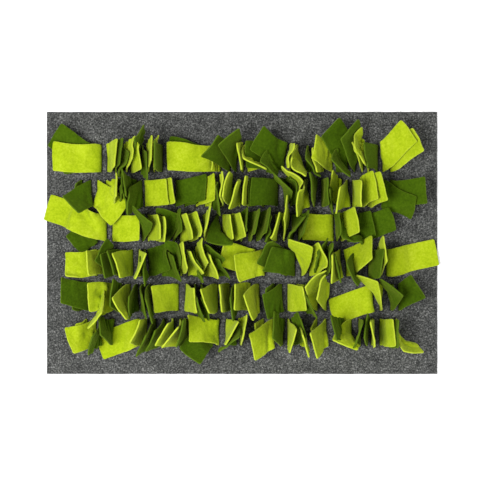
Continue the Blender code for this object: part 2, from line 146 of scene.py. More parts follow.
# The shorter strips between those above, with the same columns. One end alone is a strip whose
# other end stays under the felt.
FILLERS = {
    "A": [
        (DARK, (-226, 18, 11, -12, 68, 1), (-216, 17, -16, -16, 66, 2)),
        (LIME, (-206, 18, 16, -10, 78, 2), (-197, 17, 2, 8, 74, 3)),
        (DARK, (-187, 9, 46, -20, 84, 2), (-177, 10, -18, 6, 66, 2)),
        (LIME, (-167, 9, 14, -6, 78, 3), (-157, 13, 21, -14, 60, 1)),
        (LIME, (1, -6, 0, 4, 66, 3), (12, 13, -13, 62, 68, 1)),
        (LIME, (215, -19, 37, 14, 72, 2), (226, -27, 9, 40, 72, 2)),
        (DARK, (241, -26, 2, 8, 66, 3)),
        (DARK, (47, 0, -25, 34, 56, 1)),
        (DARK, (118, 6, -24, 36, 62, 2)),
        (DARK, (172, 4, -22, 46, 60, 1)),
    ],
    "B": [
        (LIME, (-229, 12, 17, -12, 72, 3)),
        (DARK, (-217, 16, 22, -20, 72, 2), (-206, 7, -17, 26, 60, 2)),
        (DARK, (-52, 11, -19, 14, 66, 1)),
        (LIME, (-38, 7, 13, 8, 78, 3)),
        (LIME, (11, -9, 4, -3, 68, 2)),
        (DARK, (77, -7, 17, 42, 70, 1), (88, 13, 8, 20, 60, 1)),
        (DARK, (129, -11, 10, 12, 70, 1), (144, 7, 3, 4, 66, 1)),
        (DARK, (158, 0, -17, 10, 60, 1)),
        (LIME, (199, 7, -6, 4, 78, 3), (212, 25, 13, 6, 70, 2)),
        (LIME, (226, 24, 12, 12, 72, 3)),
    ],
    "C": [
        (DARK, (-177, 3, 25, 40, 72, 2)),
        (DARK, (-134, 5, 32, 76, 60, 1)),
        (DARK, (-43, 5, -31, 80, 66, 2)),
        (DARK, (170, 2, 9, 6, 58, 1)),
        (DARK, (190, 6, -27, 60, 58, 1)),
        (DARK, (-121, 15, 16, -8, 60, 1)),
        (LIME, (-66, 7, 20, -12, 80, 3)),
        (DARK, (-3, 12, 18, -10, 64, 1)),
        (DARK, (44, 1, -5, 8, 62, 1)),
        (DARK, (90, 7, 4, -42, 68, 1), (102, 13, 14, -20, 62, 1)),
    ],
    "D": [
        (DARK, (-234, -14, 28, -10, 62, 1)),
        (DARK, (-86, 14, -17, 16, 66, 2)),
        (DARK, (-174, 3, -22, 8, 66, 1)),
        (DARK, (-118, 9, 31, 72, 66, 2)),
        (DARK, (-52, 7, 22, 50, 66, 2), (-41, 16, -13, 34, 60, 1)),
        (DARK, (162, 5, -12, 20, 64, 2)),
        (DARK, (136, 6, 30, -28, 74, 2), (149, 9, 12, -6, 74, 2)),
        (DARK, (201, -9, -24, 22, 72, 2)),
        (DARK, (228, 13, -3, -8, 80, 2)),
    ],
    "E": [
        (DARK, (-215, -13, 11, 4, 62, 2)),
        (LIME, (-201, -11, -18, 20, 78, 3)),
        (DARK, (-188, -9, -18, -14, 66, 1), (-177, 8, -16, 10, 66, 2)),
        (DARK, (-165, 5, -23, 14, 74, 2)),
        (DARK, (-84, 12, -25, 18, 78, 2), (-72, 13, -18, 10, 64, 1)),
        (DARK, (-9, -9, -20, 4, 74, 2)),
        (DARK, (70, -32, -16, -10, 64, 3)),
        (DARK, (57, -16, -5, -6, 48, 1)),
        (DARK, (113, 11, -18, 30, 70, 2)),
    ],
    "F": [
        (DARK, (-253, -16, -24, -24, 62, 2)),
        (DARK, (-232, -21, 19, 22, 64, 2)),
        (DARK, (-14, -11, -19, -50, 76, 2)),
        (LIME, (-2, 7, 15, -14, 74, 1)),
        (DARK, (72, -20, 19, 6, 64, 3)),
        (LIME, (83, 5, -13, -12, 78, 3)),
        (DARK, (93, 13, 17, 8, 66, 1)),
        (LIME, (106, 5, -22, 16, 80, 3)),
        (DARK, (180, -22, 15, 22, 76, 2)),
        (LIME, (194, -14, -21, 80, 68, 1)),
        (DARK, (210, -7, -3, -18, 72, 2), (222, -5, 15, -8, 60, 1)),
        (DARK, (262, 7, 3, -6, 76, 2)),
        (LIME, (276, 26, -33, 62, 78, 3)),
    ],
}

# Spacing of the ends, as in the CAD model
CAD_BEND, FILLER_BEND = 0.3, 0.75  # share of an end's length in which it bends; the rest is straight
MOST_BEND = 115.0  # degrees from upright
BEND_SAMPLES, BEND_HALVINGS = 60, 30  # for finding the bend that puts an end's tip in its place
ROOT_DEPTH = 2.0  # of an end's first row of points below the felt's top
TURN_START, TURN_SPAN = 0.1, 0.6  # shares of the length at which an end starts to turn, and takes to
LEAST_WIDTH = 0.2  # shortest width direction that is made a unit long, where an end lies along it
LAYDOWN_STEPS, STEP_PASSES, SETTLE_PASSES = 90, 6, 160  # small moves while laying down, and after it
PULL, MOST_PULL, PUSH = 0.12, 0.8, 0.9  # a point's pull to its place, its most in mm, and the push apart
HELD_ROWS = 2  # rows of points in the slot, which don't move
LENGTH_HOLD, SHEAR_HOLD, BEND_HOLD, CUP_HOLD = 0.5, 0.2, 0.2, 0.25  # stiffness of a strip
LAYER_START = {1: 0.0, 2: 0.27, 3: 0.54}  # share of the laying down at which a layer starts to lean
LAYER_TIME = 0.42  # share of it that a layer takes
CLOSE_STEP = 6.2  # ends whose points are further apart than this keep more distance
LEAST_DISTANCE = 0.01  # stands in for a shorter one where a distance divides
FELT_CLEAR = 2.0  # kept above the felt, besides half of the strip's thickness
REACH_SPARE = 1.0  # how much further than needed obstacles are looked for

# Points along and across each end, and the distance kept between two ends' points
CAD_GRID, CAD_CLEAR = (15, 7), 7.0
FILLER_GRID, FILLER_CLEAR = (19, 11), 4.9
SOLID_GRID, SOLID_CLEAR = (29, 13), 4.3  # the CAD ends as obstacles for the fillers


def ends_table(strips_by_row):
    """One array row per end: slot, row's y, over, along, turn in radians, length, layer."""
    rows = []
    for row, strips in strips_by_row.items():
        for _, *ends in strips:
            for slot, over, along, turn, length, layer in ends:
                rows.append((slot, ROWS[row], over, along, np.radians(turn), length, layer))
    return np.array(rows, float)


def felt_lift(x, y):
    """Height of the felt's underside: 0 on its border, LIFT over the strips' runs."""
    inside_x = (FELT_LENGTH / 2 - BORDER_X - np.abs(x)) / RAMP
    inside_y = (FELT_WIDTH / 2 - BORDER_Y - np.abs(y)) / RAMP
    return LIFT * np.clip(np.minimum(inside_x, inside_y), 0, 1)


def bent_shapes(ends, share, size, bend_share):
    """The ends' point grids when laid down by a share from 0, upright, to 1, as far as the table says."""
    along_count, across_count = size
    slot, row_y, over, along, turn, length, _ = ends.T
    over, along, turn = over * share, along * share, turn * share
    reach = np.hypot(over, along)
    heading = np.arctan2(along, over)
    s = np.linspace(0, 1, along_count)
    fine = np.linspace(0, 1, BEND_SAMPLES)
    ramp = np.clip(fine / bend_share, 0, 1)
    low, high = np.zeros(len(ends)), np.full(len(ends), np.radians(MOST_BEND))
    for _ in range(BEND_HALVINGS):
        middle = (low + high) / 2
        reached = length * np.sin(middle[:, None] * ramp).mean(axis=1)
        low = np.where(reached < reach, middle, low)
        high = np.where(reached < reach, high, middle)
    lean = middle[:, None] * np.clip(s / bend_share, 0, 1)
    step = (length / (along_count - 1))[:, None]
    mid_lean = (lean[:, 1:] + lean[:, :-1]) / 2
    start = np.zeros((len(ends), 1))
    out = np.concatenate([start, np.cumsum(np.sin(mid_lean) * step, 1)], 1)
    rise = np.concatenate([start, np.cumsum(np.cos(mid_lean) * step, 1)], 1)
    cos_h, sin_h = np.cos(heading)[:, None], np.sin(heading)[:, None]
    x, y = slot[:, None] + out * cos_h, row_y[:, None] + out * sin_h
    centre = np.stack([x, y, FELT_TOP - ROOT_DEPTH + rise], axis=-1)
    tangent = np.stack([np.sin(lean) * cos_h, np.sin(lean) * sin_h, np.cos(lean)], axis=-1)
    ease = np.clip((s - TURN_START) / TURN_SPAN, 0, 1)
    azimuth = turn[:, None] * ease * ease * (3 - 2 * ease) + np.pi / 2
    width = np.stack([np.cos(azimuth), np.sin(azimuth), np.zeros_like(azimuth)], axis=-1)
    width -= (width * tangent).sum(-1, keepdims=True) * tangent
    width /= np.maximum(np.linalg.norm(width, axis=-1, keepdims=True), LEAST_WIDTH)
    offsets = np.linspace(-STRIP_WIDTH / 2, STRIP_WIDTH / 2, across_count)
    return centre[:, :, None, :] + width[:, :, None, :] * offsets[None, None, :, None]


def near_pairs(points, others, reach):
    """Index pairs of a point in points and one in others that are closer than reach, found by sorting
    the others into cubes of that size."""
    low = np.minimum(points.min(axis=0), others.min(axis=0)) - reach
    high = np.maximum(points.max(axis=0), others.max(axis=0))
    across = (np.floor((high - low) / reach)).astype(np.int64) + 3

    def cells(some):
        return np.floor((some - low) / reach).astype(np.int64) + 1

    def keys(cell):
        return (cell[:, 0] * across[1] + cell[:, 1]) * across[2] + cell[:, 2]

    mine, theirs = cells(points), keys(cells(others))
    order = np.argsort(theirs, kind="stable")
    ordered = theirs[order]
    found = []
    for dx in (-1, 0, 1):
        for dy in (-1, 0, 1):
            wanted = keys(mine + np.array([dx, dy, 0]))
            first = np.searchsorted(ordered, wanted - 1, "left")
            count = np.searchsorted(ordered, wanted + 1, "right") - first
            a = np.repeat(np.arange(len(points)), count)
            b = np.arange(count.sum()) - np.repeat(np.cumsum(count) - count, count)
            found.append((a, order[b + np.repeat(first, count)]))
    a = np.concatenate([pair[0] for pair in found])
    b = np.concatenate([pair[1] for pair in found])
    close = ((points[a] - others[b]) ** 2).sum(axis=1) < reach * reach
    return a[close], b[close]


def push_apart(points, others, pairs, moves, radius, other_moves, other_radius):
    """Moves the points of each pair that is closer than their radii away from each other. moves is 1 for
    a point that can move and 0 for one that can't."""
    a, b = pairs
    apart = points[a] - others[b]
    size = np.sqrt((apart**2).sum(axis=1))
    distance = radius[a] + other_radius[b]
    hit = size < distance
    a, b, apart, size, distance = a[hit], b[hit], apart[hit], size[hit], distance[hit]
    share = moves[a] + other_moves[b]
    strength = PUSH * (distance - size) / np.maximum(size, LEAST_DISTANCE) / np.maximum(share, 1)
    push = apart * strength[:, None]
    for axis in range(3):
        points[:, axis] += np.bincount(a, push[:, axis] * moves[a], len(points))
        if others is points:
            points[:, axis] -= np.bincount(b, push[:, axis] * moves[b], len(points))


def grid_links(grid, step_along, step_across):
    """Pairs of views of neighbouring points, no point twice in a view, with rest distance and stiffness."""
    along_count, across_count = grid.shape[1:3]
    links = []

    def link(a, b, rest, hold):
        links.append((a, b, rest, hold))

    for first in (0, 1):
        link(grid[:, first : along_count - 1 : 2], grid[:, first + 1 :: 2], step_along, LENGTH_HOLD)
        left, right = grid[:, :, first : across_count - 1 : 2], grid[:, :, first + 1 :: 2]
        link(left, right, step_across, LENGTH_HOLD)
    diagonal = np.hypot(step_along, step_across)
    for u in (0, 1):
        for v in (0, 1):
            near, far = slice(u, along_count - 1, 2), slice(u + 1, along_count, 2)
            left, right = slice(v, across_count - 1, 2), slice(v + 1, across_count, 2)
            link(grid[:, near, left], grid[:, far, right], diagonal, SHEAR_HOLD)
            link(grid[:, near, right], grid[:, far, left], diagonal, SHEAR_HOLD)
    for first in range(4):
        link(grid[:, first : along_count - 2 : 4], grid[:, first + 2 :: 4], 2 * step_along, BEND_HOLD)
        left, right = grid[:, :, first : across_count - 2 : 4], grid[:, :, first + 2 :: 4]
        link(left, right, 2 * step_across, CUP_HOLD)
    return links


def hold_lengths(links):
    """Brings each linked pair of points back toward its rest distance."""
    for a, b, rest, stiffness in links:
        apart = b - a
        length = np.sqrt((apart**2).sum(-1, keepdims=True))
        fix = apart * (stiffness * (1 - rest / np.maximum(length, LEAST_DISTANCE)))
        a += fix
        b -= fix


def laid_ends(ends, size, clear, bend_share, obstacles=None):
    """The ends' point grids, laid down layer by layer and kept clear of each other, of the felt and of
    the obstacles, whose points don't move."""
    along_count, across_count = size
    grid = bent_shapes(ends, np.zeros(len(ends)), size, bend_share)
    points = grid.reshape(-1, 3)
    owner = np.repeat(np.arange(len(ends)), along_count * across_count)
    free = (np.arange(along_count) >= HELD_ROWS).astype(float)
    moves = np.tile(np.repeat(free, across_count), len(ends))
    start = np.array([LAYER_START[int(layer)] for layer in ends[:, 6]])
    step_along = (ends[:, 5] / (along_count - 1))[:, None, None, None]
    step_across = STRIP_WIDTH / (across_count - 1)
    wider = np.maximum(step_along.ravel() / CLOSE_STEP, 1)
    radius = np.repeat(clear / 2 * wider, along_count * across_count)
    links = grid_links(grid, step_along, step_across)
    held = grid[:, :HELD_ROWS].copy()
    laydown = LAYDOWN_STEPS * STEP_PASSES
    if obstacles is not None:
        solid_radius = np.full(len(obstacles), SOLID_CLEAR / 2)
        still = np.zeros(len(obstacles))
    for count in range(laydown + SETTLE_PASSES):
        time = min(count / laydown, 1)
        if count % STEP_PASSES == 0:
            if count <= laydown:
                target = bent_shapes(ends, np.clip((time - start) / LAYER_TIME, 0, 1), size, bend_share)
            a, b = near_pairs(points, points, 2 * radius.max())
            apart = (a < b) & (owner[a] != owner[b])
            pairs = a[apart], b[apart]
            if obstacles is not None:
                reach = radius.max() + SOLID_CLEAR / 2 + REACH_SPARE
                solid_pairs = near_pairs(points, obstacles, reach)
        pull = PULL * min(1, (laydown + SETTLE_PASSES - count - 1) / SETTLE_PASSES)
        toward = (target - grid) * pull
        far = np.sqrt((toward**2).sum(-1, keepdims=True))
        grid += toward * np.minimum(1, MOST_PULL / np.maximum(far, LEAST_DISTANCE))
        for turn in (0, 1):
            push_apart(points, points, pairs, moves, radius, moves, radius)
            if obstacles is not None:
                push_apart(points, obstacles, solid_pairs, moves, radius, still, solid_radius)
            if turn == 0:
                hold_lengths(links)
        floor = felt_lift(grid[..., 0], grid[..., 1]) + FELT_THICKNESS + HALF + FELT_CLEAR
        grid[..., 2] = np.maximum(grid[..., 2], floor)
        grid[:, :HELD_ROWS] = held
    return grid


# Fine sheets
FINE_ALONG = 40  # rows of points from the last one close to the tip to the slot
FINE_ACROSS = 16
TIP_ROWS = (0.0, 0.7, 1.8, 3.4, 5.5)  # distance of the closest rows from the tip
CORNER = 2.6  # radius of a strip's corners
RIM = 1.0  # width of the soft edge
RIM_ANGLES = (52.0, 18.0, -18.0, -52.0)
SOFTNESS, SOFT_SIZE = 0.55, 14.0  # height of the soft unevenness of the cloth, and its size
PUCKER, PUCKER_SIZE = 0.3, 5.0  # the same of the finer one on it
THICKNESS_SHARE, THICKNESS_CHANGE, THICKNESS_SIZE = 0.94, 0.1, 9.0  # of HALF, and the size of the changes
SWAY, SWAY_SIZE = 6.0, 58.0  # how far all cloth alike strays from the spaced points, and over what size
SWAY_START, SWAY_FULL = 1.0, 16.0  # heights above the felt between which it comes in
SWAY_AXES = (1, 1, 0.5)  # share of it along each axis
CUT_WOBBLE, CUT_SIZE = 0.35, 6.0  # unevenness of the cut edges
CUT_FINE_SHARE, CUT_FINE_SIZE = 0.6, 2.2  # the finer part of it
SEED_STEP = (7.3, 3.1, 5.7)  # how far apart two seeds read the noise
UNDER_ROWS = ((0.0, 3.4), (0.5, 2.0), (1.6, RUN_Z))  # distance from the slot and height of the turn below it
RUN_GAP = 0.5  # between a run's middle and the last row of each of its halves
TAIL_REACH, TAIL_LENGTH = 4.0, 6.0  # the hidden part of a strip with one end: its reach and cut length
SEEDS = 97  # different patterns of unevenness, shared out by the strips' names


def spline(values, places):
    """Weights that read a smooth curve through evenly spaced points 0..values-1 at these places."""
    weights = np.zeros((len(places), values))
    for row, place in enumerate(places):
        k = int(min(max(np.floor(place), 0), values - 2))
        t = place - k
        cubic = (
            -0.5 * t**3 + t**2 - 0.5 * t,
            1.5 * t**3 - 2.5 * t**2 + 1,
            -1.5 * t**3 + 2 * t**2 + 0.5 * t,
            0.5 * t**3 - 0.5 * t**2,
        )
        for offset, weight in zip((-1, 0, 1, 2), cubic):
            index = k + offset
            if index < 0:  # the curve runs on straight past its first and last points
                weights[row, 0] += 2 * weight
                weights[row, 1] -= weight
            elif index >= values:
                weights[row, -1] += 2 * weight
                weights[row, -2] -= weight
            else:
                weights[row, index] += weight
    return weights


def refined(grid, size):
    """The ends' grids read at more points."""
    along = spline(grid.shape[1], np.linspace(0, grid.shape[1] - 1, size[0]))
    across = spline(grid.shape[2], np.linspace(0, grid.shape[2] - 1, size[1]))
    return np.einsum("ia,jb,nabc->nijc", along, across, grid)


def wave(points, scale, seed):
    """Smooth noise from -1 to 1 at each point, with features of this size in millimetres."""
    shift = Vector([seed * step for step in SEED_STEP])
    flat = points.reshape(-1, 3) / scale
    found = [noise.noise(Vector(point) + shift) for point in flat]
    return np.array(found).reshape(points.shape[:-1])


def swayed(points):
    """The points moved a little, all cloth alike, so that neighbours stray together and stay apart."""
    moved = [noise.noise_vector(Vector(point) / SWAY_SIZE) for point in points.reshape(-1, 3)]
    height = points[..., 2:] - FELT_TOP - SWAY_START
    share = np.clip(height / (SWAY_FULL - SWAY_START), 0, 1)
    moved = np.array(moved).reshape(points.shape) * SWAY_AXES
    return points + SWAY * share * share * (3 - 2 * share) * moved


def end_surface(grid, length):
    """Fine rows of one end's middle surface, tip first, inset from its cut edges by the rim."""
    tip = np.array(TIP_ROWS) + RIM
    rest = np.linspace(TIP_ROWS[-1] + RIM, length, FINE_ALONG)[1:]
    distance = np.concatenate([tip, rest])
    places = (1 - distance / length) * (grid.shape[0] - 1)
    along = spline(grid.shape[0], places)
    inside = np.clip(CORNER - (distance - RIM), 0, CORNER)
    narrow = CORNER - np.sqrt(CORNER**2 - inside**2)
    share = 1 - 2 * (RIM + narrow) / STRIP_WIDTH
    columns = np.linspace(-1, 1, FINE_ACROSS)
    ruled = np.einsum("ia,abc->ibc", along, grid)
    rows = []
    for row, wide in zip(ruled, share):
        rows.append(spline(grid.shape[1], (columns * wide + 1) / 2 * (grid.shape[1] - 1)) @ row)
    return swayed(np.array(rows))


def under_felt(slot, row_y, toward, reach):
    """Rows of a strip where it turns below its slot, and lies along the floor toward another slot."""
    y = np.linspace(-1, 1, FINE_ACROSS) * (STRIP_WIDTH / 2 - RIM) + row_y
    rows = []
    for out, z in (*UNDER_ROWS, (reach, RUN_Z)):
        rows.append(np.stack([np.full(FINE_ACROSS, slot + toward * out), y, np.full(FINE_ACROSS, z)], 1))
    return np.array(rows)


def sheet_normals(rows):
    """The unit normal of a sheet's middle surface at each of its points."""
    along = np.gradient(rows, axis=0)
    across = np.gradient(rows, axis=1)
    normal = np.cross(along, across)
    return normal / np.maximum(np.linalg.norm(normal, axis=-1, keepdims=True), 1e-6)


def sheet_mesh(name, rows, seed):
    """A closed mesh of the sheet with this middle surface: two faces and a soft rim round its edge."""
    count, across = rows.shape[:2]
    normals = sheet_normals(rows)
    uneven = SOFTNESS * wave(rows, SOFT_SIZE, seed) + PUCKER * wave(rows, PUCKER_SIZE, seed + 1)
    rows = rows + normals * uneven[..., None]
    normals = sheet_normals(rows)
    thickness = THICKNESS_SHARE + THICKNESS_CHANGE * wave(rows, THICKNESS_SIZE, seed + 2)
    half = HALF * thickness[..., None]
    upper, lower = rows + normals * half, rows - normals * half
    index = np.arange(count * across).reshape(count, across)
    loop = np.concatenate([index[0, :-1], index[:-1, -1], index[-1, :0:-1], index[:0:-1, 0]])
    edge = rows.reshape(-1, 3)[loop]
    inner = np.clip(np.stack([loop // across, loop % across], 1), 1, [count - 2, across - 2])
    outward = edge - rows[inner[:, 0], inner[:, 1]]
    side = normals.reshape(-1, 3)[loop]
    outward -= (outward * side).sum(1, keepdims=True) * side
    outward /= np.maximum(np.linalg.norm(outward, axis=1, keepdims=True), 1e-6)
    thick = half.reshape(-1, 1)[loop]
    fine = CUT_FINE_SHARE * wave(edge, CUT_FINE_SIZE, seed + 4)
    wobble = CUT_WOBBLE * (wave(edge, CUT_SIZE, seed + 3) + fine)[:, None]
    points = [upper.reshape(-1, 3), lower.reshape(-1, 3)]
    rim = []
    for angle in np.radians(RIM_ANGLES):
        rim.append(2 * count * across + len(rim) * len(loop) + np.arange(len(loop)))
        points.append(edge + side * thick * np.sin(angle) + outward * (RIM * np.cos(angle) + wobble))
    points = np.concatenate(points) * MM
    points[:, 2] = np.maximum(points[:, 2], 0)
    faces = []
    a, b, c, d = index[:-1, :-1], index[:-1, 1:], index[1:, 1:], index[1:, :-1]
    faces.append(np.stack([a, b, c, d], -1).reshape(-1, 4))
    faces.append(np.stack([d, c, b, a], -1).reshape(-1, 4) + count * across)
    rings = [loop, *rim, loop + count * across]
    for ring, below in zip(rings[:-1], rings[1:]):
        nxt, nxt_below = np.roll(ring, -1), np.roll(below, -1)
        faces.append(np.stack([nxt, ring, below, nxt_below], -1))
    faces = np.concatenate(faces)
    # the rim's points are marked for painted light along the fleece's cut edges
    painted_edge = np.zeros(len(points), np.float32)
    painted_edge[2 * count * across :] = 1.0
    return new_piece(name, points, faces, {"painted_edge": painted_edge})


def new_piece(name, points, faces, attributes):
    """A smooth mesh object with these points, faces and float attributes, its faces turned outward."""
    mesh = bpy.data.meshes.new(name)
    mesh.vertices.add(len(points))
    mesh.vertices.foreach_set("co", np.ascontiguousarray(points, np.float32).ravel())
    mesh.loops.add(faces.size)
    mesh.loops.foreach_set("vertex_index", np.ascontiguousarray(faces, np.int32).ravel())
    mesh.polygons.add(len(faces))
    mesh.polygons.foreach_set("loop_start", np.arange(0, faces.size, faces.shape[1], dtype=np.int32))
    mesh.update(calc_edges=True)
    corners = points[faces[:, :3]]
    if np.linalg.det(corners).sum() < 0:
        mesh.flip_normals()
    mesh.shade_smooth()
    for key, values in attributes.items():
        mesh.attributes.new(key, "FLOAT", "POINT").data.foreach_set("value", values)
    piece = bpy.data.objects.new(name, mesh)
    bpy.context.scene.collection.objects.link(piece)
    return piece


def add_strip(name, colour, ends, grids, node):
    """One fleece strip: its ends, and its run under the felt. node is the CAD node that it stands for."""
    parts = []
    run = abs(ends[-1][0] - ends[0][0])
    for end, grid, side in zip(ends, grids, (1, -1)):
        slot, row_y, over = end[:3]
        if len(ends) == 2:
            toward, reach = side, run / 2 - RUN_GAP
        else:
            toward, reach = (-1 if over > 0 else 1), TAIL_REACH
        parts.append(np.concatenate([end_surface(grid, end[5]), under_felt(slot, row_y, toward, reach)]))
    rows = parts[0]
    if len(parts) == 2:
        rows = np.concatenate([parts[0], parts[1][::-1]])
    seed = float(sum(ord(letter) * (place + 1) for place, letter in enumerate(name)) % SEEDS)
    piece = sheet_mesh(name, rows, seed)
    piece.data.materials.append(FLEECE[colour])
    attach(piece, "root")
    if node:
        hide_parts(node)


# The felt's fine grid
FELT_STEP_X, FELT_STEP_Y = 3.2, 3.7
EDGE_LINES = (0.0, 0.6, 1.6, 3.2)  # distance of the outermost grid lines from the felt's edge
EDGE_ROUND = 2.0  # radius of the soft top edge
EDGE_ROUND_SHARE, EDGE_ROUND_FULL = 0.7, 0.98  # its depth, and how close to a full quarter it comes
EDGE_WOBBLE = 0.5  # unevenness of the felt's outline
EDGE_WOBBLE_SIZES = (17.0, 15.0)  # along x and y
BUMP, BUMP_SIZE = 0.45, 30.0  # height of the felt's unevenness, and its size
FINE_BUMP, FINE_BUMP_SIZE = 0.22, 7.0  # the same of the finer one on it
BORDER_BUMP = 0.3  # share of it that is left at the outline


def felt_columns(slots, count):
    """x of each grid line, with a pair of lines on the two sides of every slot, and the slots' cells."""
    known_lines, known_x, cells = [], [], []
    half = FELT_LENGTH / 2
    for number, inset in enumerate(EDGE_LINES):
        known_lines += [number, count - 1 - number]
        known_x += [-half + inset, half - inset]
    first = len(EDGE_LINES)
    per_mm = (count - 1) / FELT_LENGTH
    for slot in sorted(slots):
        cell = int(round((slot + half) * per_mm - 0.5))
        if cells:
            cell = max(cell, cells[-1] + 2)
        cells.append(max(cell, first))
        known_lines += [cells[-1], cells[-1] + 1]
        known_x += [slot - SLOT_WIDTH / 2, slot + SLOT_WIDTH / 2]
    order = np.argsort(known_lines)
    return np.interp(np.arange(count), np.array(known_lines)[order], np.array(known_x)[order]), cells


def felt_lines_y():
    """y of each grid line, with lines at the slots' ends, and each row's first and last line."""
    stops = [FELT_WIDTH / 2 - inset for inset in EDGE_LINES]
    for row_y in ROWS.values():
        stops += [row_y + SLOT_LENGTH / 2, row_y - SLOT_LENGTH / 2]
    stops += [-FELT_WIDTH / 2 + inset for inset in reversed(EDGE_LINES)]
    lines = [stops[0]]
    for a, b in zip(stops[:-1], stops[1:]):
        steps = max(1, int(round((a - b) / FELT_STEP_Y)))
        lines += list(np.linspace(a, b, steps + 1)[1:])
    lines = np.array(lines[::-1])
    spans = {}
    for row, row_y in ROWS.items():
        first = int(np.argmin(np.abs(lines - (row_y - SLOT_LENGTH / 2))))
        last = int(np.argmin(np.abs(lines - (row_y + SLOT_LENGTH / 2))))
        spans[row] = (first, last)
    return lines, spans


def add_felt(all_ends):
    """The felt: a sheet with a slot for each end, soft edges and a slightly uneven surface."""
    count = int(FELT_LENGTH / FELT_STEP_X) + 1
    ys, spans = felt_lines_y()
    plain, _ = felt_columns([], count)
    known_y, known_x = [0], [plain]
    kept = np.ones((count - 1, len(ys) - 1), bool)
    for row in reversed(ROWS):
        xs, cells = felt_columns([end[0] for end in all_ends if end[1] == ROWS[row]], count)
        first, last = spans[row]
        known_y += [first, last]
        known_x += [xs, xs]
        for cell in cells:
            kept[cell, first:last] = False
    known_y.append(len(ys) - 1)
    known_x.append(plain)
    known_x = np.array(known_x)
    columns = [np.interp(np.arange(len(ys)), known_y, known_x[:, line]) for line in range(count)]
    x = np.array(columns)
    y = np.broadcast_to(ys, x.shape).copy()
    inset = np.minimum(FELT_LENGTH / 2 - np.abs(x), FELT_WIDTH / 2 - np.abs(y))
    flat = np.stack([x, y, np.zeros_like(x)], -1)
    near_edge = np.clip(1 - inset / EDGE_LINES[-1], 0, 1)
    x += EDGE_WOBBLE * near_edge * wave(flat, EDGE_WOBBLE_SIZES[0], 3.0)
    y += EDGE_WOBBLE * near_edge * wave(flat, EDGE_WOBBLE_SIZES[1], 9.0)
    bumps = BUMP * wave(flat, BUMP_SIZE, 5.0) + FINE_BUMP * wave(flat, FINE_BUMP_SIZE, 6.0)
    inner = np.clip(inset / (BORDER_Y + RAMP), 0, 1)
    lift = felt_lift(x, y)
    round_off = np.clip(1 - inset / EDGE_ROUND, 0, 1)
    top = lift + FELT_THICKNESS + bumps * (BORDER_BUMP + (1 - BORDER_BUMP) * inner)
    top -= EDGE_ROUND * EDGE_ROUND_SHARE * (1 - np.sqrt(1 - round_off**2 * EDGE_ROUND_FULL))
    upper = np.stack([x, y, top], -1).reshape(-1, 3)
    lower = np.stack([x, y, lift], -1).reshape(-1, 3)
    index = np.arange(x.size).reshape(x.shape)
    under = x.size
    a, b, c, d = index[:-1, :-1], index[1:, :-1], index[1:, 1:], index[:-1, 1:]
    faces = [np.stack([a, b, c, d], -1)[kept], np.stack([d, c, b, a], -1)[kept] + under]
    padded = np.pad(kept, 1)
    sides = (
        (padded[2:, 1:-1], b, c),
        (padded[:-2, 1:-1], d, a),
        (padded[1:-1, :-2], a, b),
        (padded[1:-1, 2:], c, d),
    )
    # the walls of the slots and of the outer edge are marked for painted shade in the felt's material
    painted_edge = np.zeros(2 * x.size, np.float32)
    for neighbour, near, far in sides:
        open_side = kept & ~neighbour
        p, q = near[open_side], far[open_side]
        faces.append(np.stack([q, p, p + under, q + under], -1))
        painted_edge[np.concatenate([p, q, p + under, q + under])] = 1.0
    faces = np.concatenate(faces)
    points = np.concatenate([upper, lower]) * MM
    used = np.unique(faces)
    place = np.zeros(len(points), int)
    place[used] = np.arange(len(used))
    felt = new_piece("felt_mat", points[used], place[faces], {"painted_edge": painted_edge[used]})
    felt.data.materials.append(FELT)
    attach(felt, "root")
    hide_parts("felt_base")


# Loose fibres round the felt's edge
FIBRES = 230
FIBRE_SIDES, FIBRE_STEPS = 3, 5  # corners round a fibre, and rings along it
FIBRE_RADIUS = 0.13
FIBRE_TAPER = 0.7  # share of its radius that a fibre loses toward its tip
FIBRE_INSET = 0.8  # of its root from the felt's outline
FIBRE_HEIGHTS = (0.8, FELT_THICKNESS - 0.5)  # of its root
SHORT_FIBRE, LONG_FIBRE, SHORT_SHARE = (1.5, 4.5), (5, 9), 0.85  # their lengths, and the share of short ones
FIBRE_SPREAD, FIBRE_CURL = 0.7, 0.35  # how far they stray from straight outward, and bend
FIBRE_RISE = (-0.1, 0.5)  # of their first direction


def fibre_root(around):
    """The point on the felt's edge at this distance around it, long sides first, and the way outward."""
    half_x, half_y = FELT_LENGTH / 2 - FIBRE_INSET, FELT_WIDTH / 2 - FIBRE_INSET
    if around < 2 * FELT_LENGTH:
        side = 1 if around < FELT_LENGTH else -1
        root = np.array([around % FELT_LENGTH - half_x, side * half_y, 0])
        outward = np.array([0.0, side, 0.0])
    else:
        around -= 2 * FELT_LENGTH
        side = 1 if around < FELT_WIDTH else -1
        root = np.array([side * half_x, around % FELT_WIDTH - half_y, 0])
        outward = np.array([side, 0.0, 0.0])
    root[:2] = np.clip(root[:2], [-half_x, -half_y], [half_x, half_y])
    return root, outward


